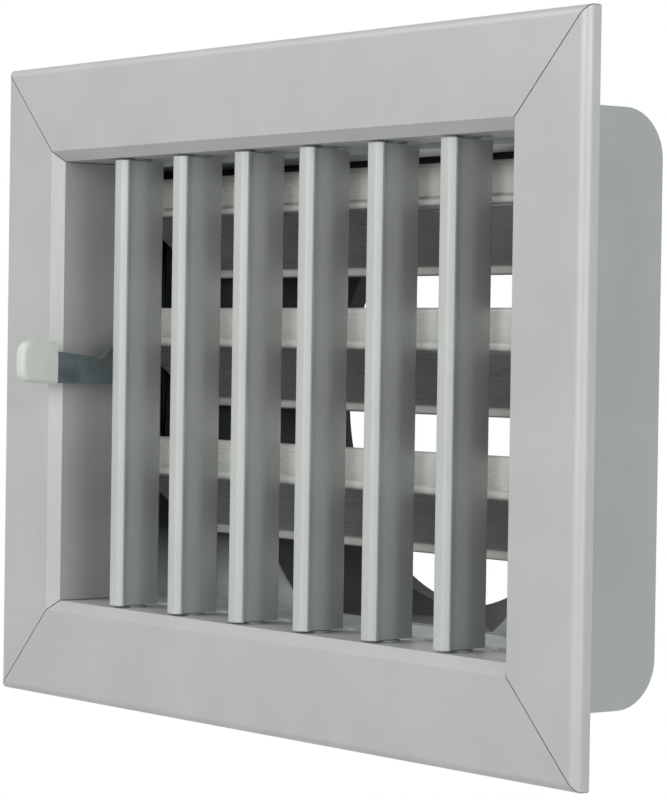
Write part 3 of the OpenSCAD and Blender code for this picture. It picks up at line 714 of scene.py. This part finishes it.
class GRILLE_OT_damper(bpy.types.Operator):
    """Damper rails, sides and the three leaves"""
    bl_idname = "grille.damper"
    bl_label = "Damper"

    def execute(self, context):
        for side in ("top", "bottom"):
            dress("damper_" + side, "damper_sheet")
        for side in ("left", "right"):
            dress("damper_" + side, "damper_side")
        dress("damper_bushes", "bush_white")
        sizes = settings()[0]
        for i in LEAVES:
            low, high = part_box("leaf_%d" % i)
            pin_low, pin_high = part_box("leaf_pins_%d" % i)
            y, z = ((a + b) / 2 for a, b in zip(pin_low[1:], pin_high[1:]))
            seed = outline_mesh("leaf_outline", metres(leaf_outline(
                (high[2] - z) / MM, (high[1] - y) / MM, (z - low[2]) / MM, sizes)),
                bore=((0, 0), LEAF_BORE, BORE_SIDES))
            piece = grow("damper_leaf_%d" % i, seed, bar_tree(),
                         Length=high[0] - low[0], Place=(low[0], y, z),
                         Turn=(math.pi / 2, 0, math.pi / 2),
                         Smooth_angle=SOFT_ANGLE, Finish=finish_of("leaf_metal"))
            stand_in(piece, "leaf_%d" % i, "damper_%d" % i)
            dress("leaf_pins_%d" % i, "pin_steel")
        return {"FINISHED"}


# Lever and link ---------------------------------------------------------------

CAP_TOP, CAP_FOOT = 4.6 * MM, 3.4 * MM    # easing of the cap's two front corners
CAP_LEAN = 1.2 * MM                       # rise of its underside to the front
CAP_STEPS = 8                             # steps of each rounding
SLOT_FRONT = 2.9 * MM                     # front wall left by the slot for the strip
SLOT_FLOOR, SLOT_TOP = 0.58 * MM, 10.62 * MM
SLOT_PLAY = 0.02 * MM


def cap_ring(x, inset, low, high):
    """Side outline of the cap at one x, pulled in from its front, top and bottom."""
    front, floor, ceiling = low[1] + inset, low[2] + inset, high[2] - inset
    ease = 0.8 * inset
    side = rounded([(high[1], floor, 0), (high[1], ceiling, 0),
                    (front, ceiling, CAP_TOP - ease),
                    (front, floor + CAP_LEAN, CAP_FOOT - ease)], CAP_STEPS)
    return [(x, y, z) for y, z in side]


def lever_cap(low, high, fillet):
    """The moulded cap: a block with wide fillets all round, open at its rear end."""
    half, mid = (high[0] - low[0]) / 2, (high[0] + low[0]) / 2
    turns = [math.pi / 2 * k / CAP_STEPS for k in range(CAP_STEPS + 1)]
    rings = [cap_ring(mid - half + fillet * (1 - math.sin(a)),
                      fillet * (1 - math.cos(a)), low, high) for a in reversed(turns)]
    rings += [cap_ring(mid + half - fillet * (1 - math.sin(a)),
                       fillet * (1 - math.cos(a)), low, high) for a in turns]
    return put("cap_moulding", loft("cap_moulding", rings))


class GRILLE_OT_linkage(bpy.types.Operator):
    """Lever, its cap, cranks, crank pins and link bar"""
    bl_idname = "grille.linkage"
    bl_label = "Lever and link"

    def execute(self, context):
        sizes = settings()[0]
        dress("lever", "zinc_plate", sizes.strip_edge)
        for node in ("crank_1", "crank_3", "link_bar"):
            dress(node, "dull_plate", sizes.strip_edge)
        for i in LEAVES:
            dress("crank_pin_%d" % i, "pin_steel")
        low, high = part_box("lever_cap")
        strip_low, strip_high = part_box("crank_1")
        cap = lever_cap(low, high, sizes.cap_fillet)
        carve(cap, block(
            "slot",
            (strip_low[0] - SLOT_PLAY, low[1] + SLOT_FRONT, low[2] + SLOT_FLOOR),
            (strip_high[0] + SLOT_PLAY, high[1] + 1 * MM, low[2] + SLOT_TOP)))
        soften(cap, CAP_ANGLE)
        cap.data.materials.clear()
        cap.data.materials.append(finish_of("white_cap"))
        stand_in(cap, "lever_cap", "damper_2")
        return {"FINISHED"}


# Rear box ---------------------------------------------------------------------

class GRILLE_OT_rear_box(bpy.types.Operator):
    """Rear box, round spigot and the rivets"""
    bl_idname = "grille.rear_box"
    bl_label = "Rear box"

    def execute(self, context):
        for node in ("box_wrap", "box_left", "box_right"):
            dress(node, "box_sheet")
        dress("spigot", "black_moulding")
        for node in ("box_rivets", "damper_rivets", "spigot_rivets"):
            dress(node, "rivet_metal")
        return {"FINISHED"}


# Stage ------------------------------------------------------------------------

LAMPS = {"key": (0.79, -1.96, 0.62), "high": (-0.81, -1.40, 1.49),
         "side": (2.11, -0.20, 0.58)}
SOFTBOX_SIDE = 1.2
FLOOR_HEIGHT, FLOOR_REACH = -0.62, 30.0
SENSOR_HEIGHT = 24.0


def softbox(name, place, watts):
    """A square area light aimed at the grille."""
    data = bpy.data.lights.new(name, "AREA")
    data.shape, data.size, data.energy = "SQUARE", SOFTBOX_SIDE, watts
    obj = put(name, data)
    obj.location = place
    obj.rotation_euler = (-Vector(place)).to_track_quat("-Z", "Y").to_euler()


def background_mix(tree, seen, unseen):
    """Mixes two shaders: seen for camera, glossy and transmission rays."""
    nodes, links = tree.nodes, tree.links
    path = nodes.new("ShaderNodeLightPath")
    either = nodes.new("ShaderNodeMath")
    either.operation = "MAXIMUM"
    all_three = nodes.new("ShaderNodeMath")
    all_three.operation = "MAXIMUM"
    links.new(path.outputs["Is Camera Ray"], either.inputs[0])
    links.new(path.outputs["Is Glossy Ray"], either.inputs[1])
    links.new(either.outputs[0], all_three.inputs[0])
    links.new(path.outputs["Is Transmission Ray"], all_three.inputs[1])
    mix = nodes.new("ShaderNodeMixShader")
    links.new(all_three.outputs[0], mix.inputs["Fac"])
    links.new(unseen, mix.inputs[1])
    links.new(seen, mix.inputs[2])
    return mix.outputs["Shader"]


class GRILLE_OT_stage(bpy.types.Operator):
    """Floor, soft light and camera"""
    bl_idname = "grille.stage"
    bl_label = "Stage"

    def execute(self, context):
        stage = settings()[2]
        scene = context.scene
        self.world(scene, stage.sky)
        self.floor()
        for name, place in LAMPS.items():
            softbox(name + "_light", place, getattr(stage, name))
        self.camera(scene, stage)
        scene.view_settings.view_transform = "Standard"
        return {"FINISHED"}

    def world(self, scene, strength):
        world = bpy.data.worlds.new("studio")
        scene.world = world
        world.use_nodes = True
        tree = world.node_tree
        tree.nodes.clear()
        end = tree.nodes.new("ShaderNodeOutputWorld")
        seen, lit = (tree.nodes.new("ShaderNodeBackground") for _ in range(2))
        for node in (seen, lit):
            node.inputs["Color"].default_value = (1, 1, 1, 1)
        lit.inputs["Strength"].default_value = strength
        mixed = background_mix(tree, seen.outputs[0], lit.outputs[0])
        tree.links.new(mixed, end.inputs["Surface"])

    def floor(self):
        bm = bmesh.new()
        bmesh.ops.create_grid(bm, x_segments=1, y_segments=1, size=FLOOR_REACH)
        bmesh.ops.translate(bm, vec=(0, 0, FLOOR_HEIGHT), verts=bm.verts)
        obj = put("floor", mesh_of("floor", bm))
        mat, tree, shader = blank_material("floor_white", (0.9, 0.9, 0.9), 0.0, 0.8)
        glow = tree.nodes.new("ShaderNodeEmission")
        glow.inputs["Color"].default_value = (1, 1, 1, 1)
        end = tree.nodes["Material Output"]
        mixed = background_mix(tree, glow.outputs[0], shader.outputs[0])
        tree.links.new(mixed, end.inputs["Surface"])
        obj.data.materials.append(mat)

    def camera(self, scene, stage):
        yaw, pitch, roll = stage.camera_turn
        ahead = Vector((-math.sin(yaw) * math.cos(pitch),
                        math.cos(yaw) * math.cos(pitch), math.sin(pitch)))
        level = Vector((math.cos(yaw), math.sin(yaw), 0))
        above = level.cross(ahead)
        right = level * math.cos(roll) + above * math.sin(roll)
        up = above * math.cos(roll) - level * math.sin(roll)
        data = bpy.data.cameras.new("photo_camera")
        data.sensor_fit, data.sensor_height = "VERTICAL", SENSOR_HEIGHT
        data.lens = stage.camera_lens
        data.clip_start, data.clip_end = 0.01, 100.0
        obj = put("photo_camera", data)
        turn = Matrix((right, up, -ahead)).transposed().to_4x4()
        obj.matrix_world = Matrix.Translation(stage.camera_place) @ turn
        scene.camera = obj


# Add-on ------------------------------------------------------------------------

OPERATORS = (GRILLE_OT_stage, GRILLE_OT_flange, GRILLE_OT_blades,
             GRILLE_OT_damper, GRILLE_OT_linkage, GRILLE_OT_rear_box)


class GRILLE_PT_panel(bpy.types.Panel):
    """Lists the steps that build the grille"""
    bl_label = "Grille"
    bl_idname = "GRILLE_PT_panel"
    bl_space_type = "VIEW_3D"
    bl_region_type = "UI"
    bl_category = "Grille"

    def draw(self, context):
        column = self.layout.column()
        for group in (context.scene.grille_sizes, context.scene.grille_finishes,
                      context.scene.grille_stage):
            for key in type(group).__annotations__:
                column.prop(group, key)
        for step in OPERATORS:
            column.operator(step.bl_idname)


GROUPS = (("grille_sizes", GrilleSizes), ("grille_finishes", GrilleFinishes),
          ("grille_stage", GrilleStage))


def register():
    for name, group in GROUPS:
        bpy.utils.register_class(group)
        setattr(bpy.types.Scene, name, PointerProperty(type=group))
    for cls in OPERATORS + (GRILLE_PT_panel,):
        bpy.utils.register_class(cls)


def unregister():
    for cls in reversed(OPERATORS + (GRILLE_PT_panel,)):
        bpy.utils.unregister_class(cls)
    for name, group in reversed(GROUPS):
        delattr(bpy.types.Scene, name)
        bpy.utils.unregister_class(group)


def main():
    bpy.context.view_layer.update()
    register()
    for step in OPERATORS:
        area, verb = step.bl_idname.split(".")
        getattr(getattr(bpy.ops, area), verb)()


if __name__ == "__main__":
    main()
